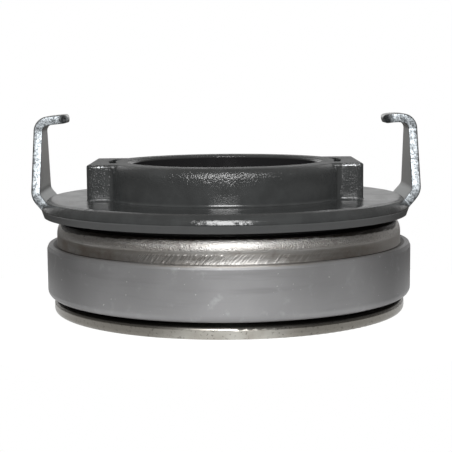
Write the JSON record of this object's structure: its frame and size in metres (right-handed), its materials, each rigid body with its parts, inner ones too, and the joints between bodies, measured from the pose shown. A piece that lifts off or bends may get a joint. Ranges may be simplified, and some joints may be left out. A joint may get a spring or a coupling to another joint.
{
  "type": "clutch release bearing",
  "caption": "Round clutch release bearing: a cast carrier with guide bore, fork lugs and spring clips over a floating ball bearing with a turning contact ring.",
  "frame": {"origin": "on the guide bore's axis, in the plane of the contact face that the part stands on", "axes": "+Z along the guide bore, from the contact face to the fork lugs; +X through the two lugs and clips"},
  "size_m": [0.1192, 0.1162, 0.0618],
  "materials": {
    "carrier_paint": "cast, dark semi-gloss paint",
    "clip_zinc": "stamped sheet, mottled zinc",
    "spring_steel": "dark oiled spring steel",
    "ring_steel": "turned bearing steel",
    "casing_grey": "matte grey phosphate",
    "contact_steel": "ground bearing steel with oil film",
    "seal_rubber": "matte black rubber",
    "cage_steel": "pressed steel sheet",
    "ball_steel": "polished"
  },
  "bodies": {
    "carrier": {"carrier": "carrier_paint", "clip_left": "clip_zinc", "clip_right": "clip_zinc", "snap_ring": "spring_steel", "support_washer": "spring_steel"},
    "spring": {"disc_spring": "spring_steel"},
    "bearing": {"outer_ring": "ring_steel", "casing": "casing_grey", "outer_seal": "seal_rubber", "inner_seal": "seal_rubber"},
    "contact_ring": {"contact_ring": "contact_steel"},
    "cage": {"cage": "cage_steel", "ball_01": "ball_steel", "ball_02": "ball_steel", "ball_03": "ball_steel", "ball_04": "ball_steel", "ball_05": "ball_steel", "ball_06": "ball_steel", "ball_07": "ball_steel", "ball_08": "ball_steel", "ball_09": "ball_steel", "ball_10": "ball_steel", "ball_11": "ball_steel", "ball_12": "ball_steel", "ball_13": "ball_steel", "ball_14": "ball_steel", "ball_15": "ball_steel", "ball_16": "ball_steel", "ball_17": "ball_steel", "ball_18": "ball_steel", "ball_19": "ball_steel", "ball_20": "ball_steel", "ball_21": "ball_steel", "ball_22": "ball_steel"}
  },
  "joints": [
    {"name": "float_x", "type": "slide", "parent": "carrier", "child": "spring", "axis": [1, 0, 0], "range_m": [-0.0025, 0.0005]},
    {"name": "float_y", "type": "slide", "parent": "spring", "child": "bearing", "axis": [0, 1, 0], "range_m": [-0.0015, 0.0015]},
    {"name": "ring_spin", "type": "hinge", "parent": "bearing", "child": "contact_ring", "pos_m": [0.001, 0, 0.0115], "axis": [0, 0, 1], "continuous": true},
    {"name": "cage_orbit", "type": "hinge", "parent": "bearing", "child": "cage", "pos_m": [0.001, 0, 0.0115], "axis": [0, 0, 1], "continuous": true}
  ],
  "couplings": [
    {"joint": "cage_orbit", "follows": "ring_spin", "ratio": 0.46}
  ]
}
